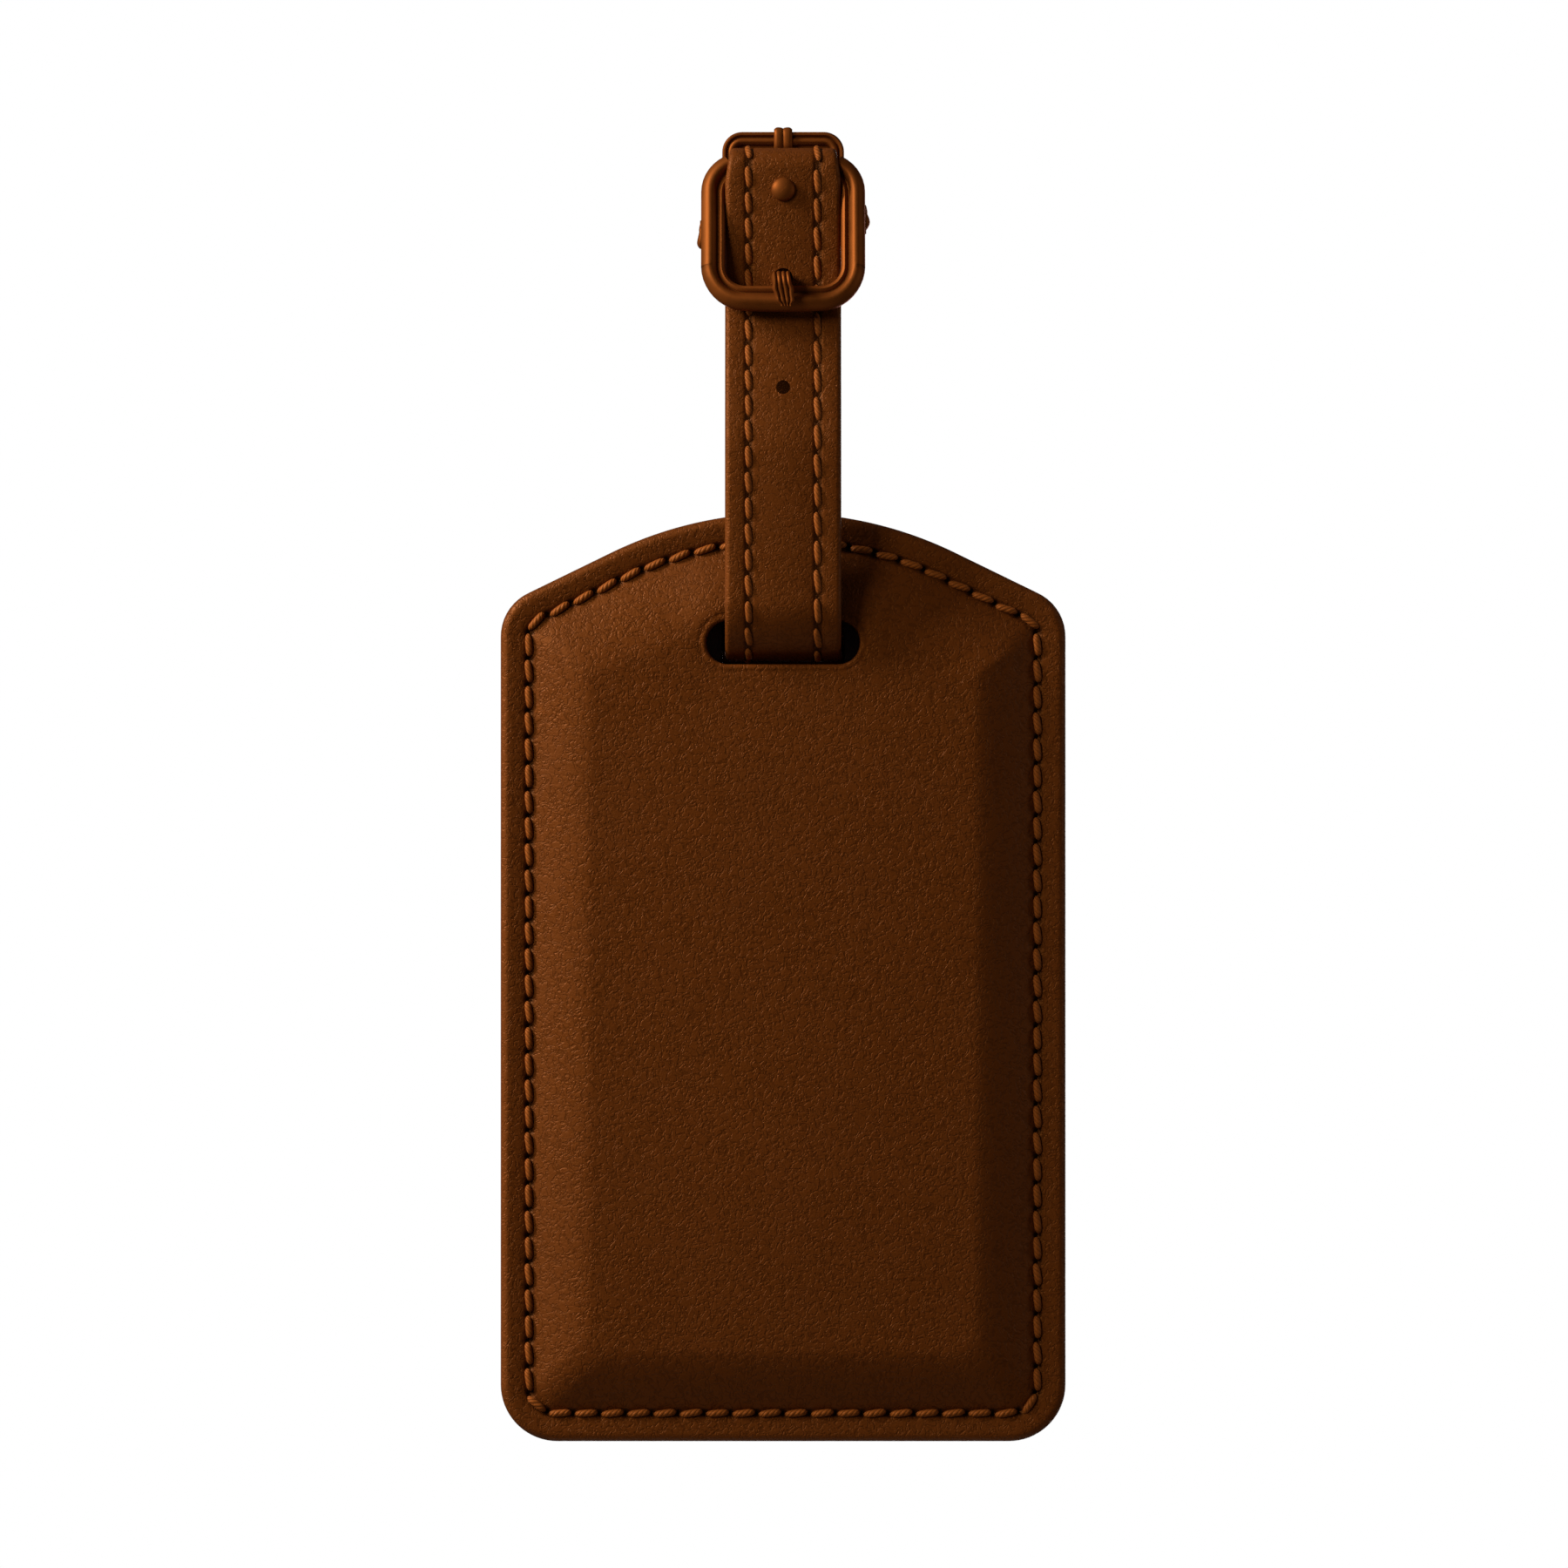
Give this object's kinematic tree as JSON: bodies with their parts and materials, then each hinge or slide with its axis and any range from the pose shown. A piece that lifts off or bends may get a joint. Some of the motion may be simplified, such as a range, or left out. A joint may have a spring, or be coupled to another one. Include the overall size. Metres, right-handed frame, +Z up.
{
  "type": "luggage tag",
  "caption": "Leather luggage tag with a padded stitched face, a window pocket with a slide-out address card, and a buckled strap loop through its slot.",
  "frame": {"origin": "inside the top of the strap's loop, just under the buckle, where a bag's handle passes", "axes": "+Z up as the tag hangs, the stitched face looks along -Y, +X across the tag"},
  "size_m": [0.0648, 0.0158, 0.1509],
  "materials": {
    "leather": "satin",
    "lining_leather": "matt",
    "board": "matt",
    "thread": "satin",
    "metal": "polished",
    "foam": "matt",
    "film": "gloss",
    "card": "matt"
  },
  "bodies": {
    "strap": {"strap_outer": "leather", "strap_lining": "lining_leather", "strap_stitching_left": "thread", "strap_stitching_right": "thread", "tail_stud": "metal", "tail_stud_cap": "metal", "chape_rivet": "metal", "chape_rivet_cap": "metal", "buckle_frame": "metal", "hinge_pin": "metal"},
    "prong": {"prong": "metal"},
    "keeper": {"keeper_loop": "metal", "keeper_ferrule": "metal"},
    "tag": {"front_panel": "leather", "foam_pad": "foam", "stiffener_board": "board", "back_panel": "leather", "pocket_welt": "leather", "window_film": "film", "window_frame": "leather", "front_stitching": "thread", "back_stitching": "thread"},
    "card": {"address_card": "card"}
  },
  "joints": [
    {"name": "tag_swing", "type": "hinge", "parent": "strap", "child": "tag", "pos_m": [0, 0, -0.0309], "axis": [1, 0, 0], "range_deg": [-7, 7]},
    {"name": "prong_hinge", "type": "hinge", "parent": "strap", "child": "prong", "pos_m": [0, 0, 0.0119], "axis": [-1, 0, 0], "range_deg": [0, 6]},
    {"name": "keeper_swing", "type": "hinge", "parent": "strap", "child": "keeper", "pos_m": [0, 0, 0.0119], "axis": [-1, 0, 0], "range_deg": [0, 60]},
    {"name": "card_slide", "type": "slide", "parent": "tag", "child": "card", "axis": [1, 0, 0], "range_m": [0, 0.05]}
  ]
}
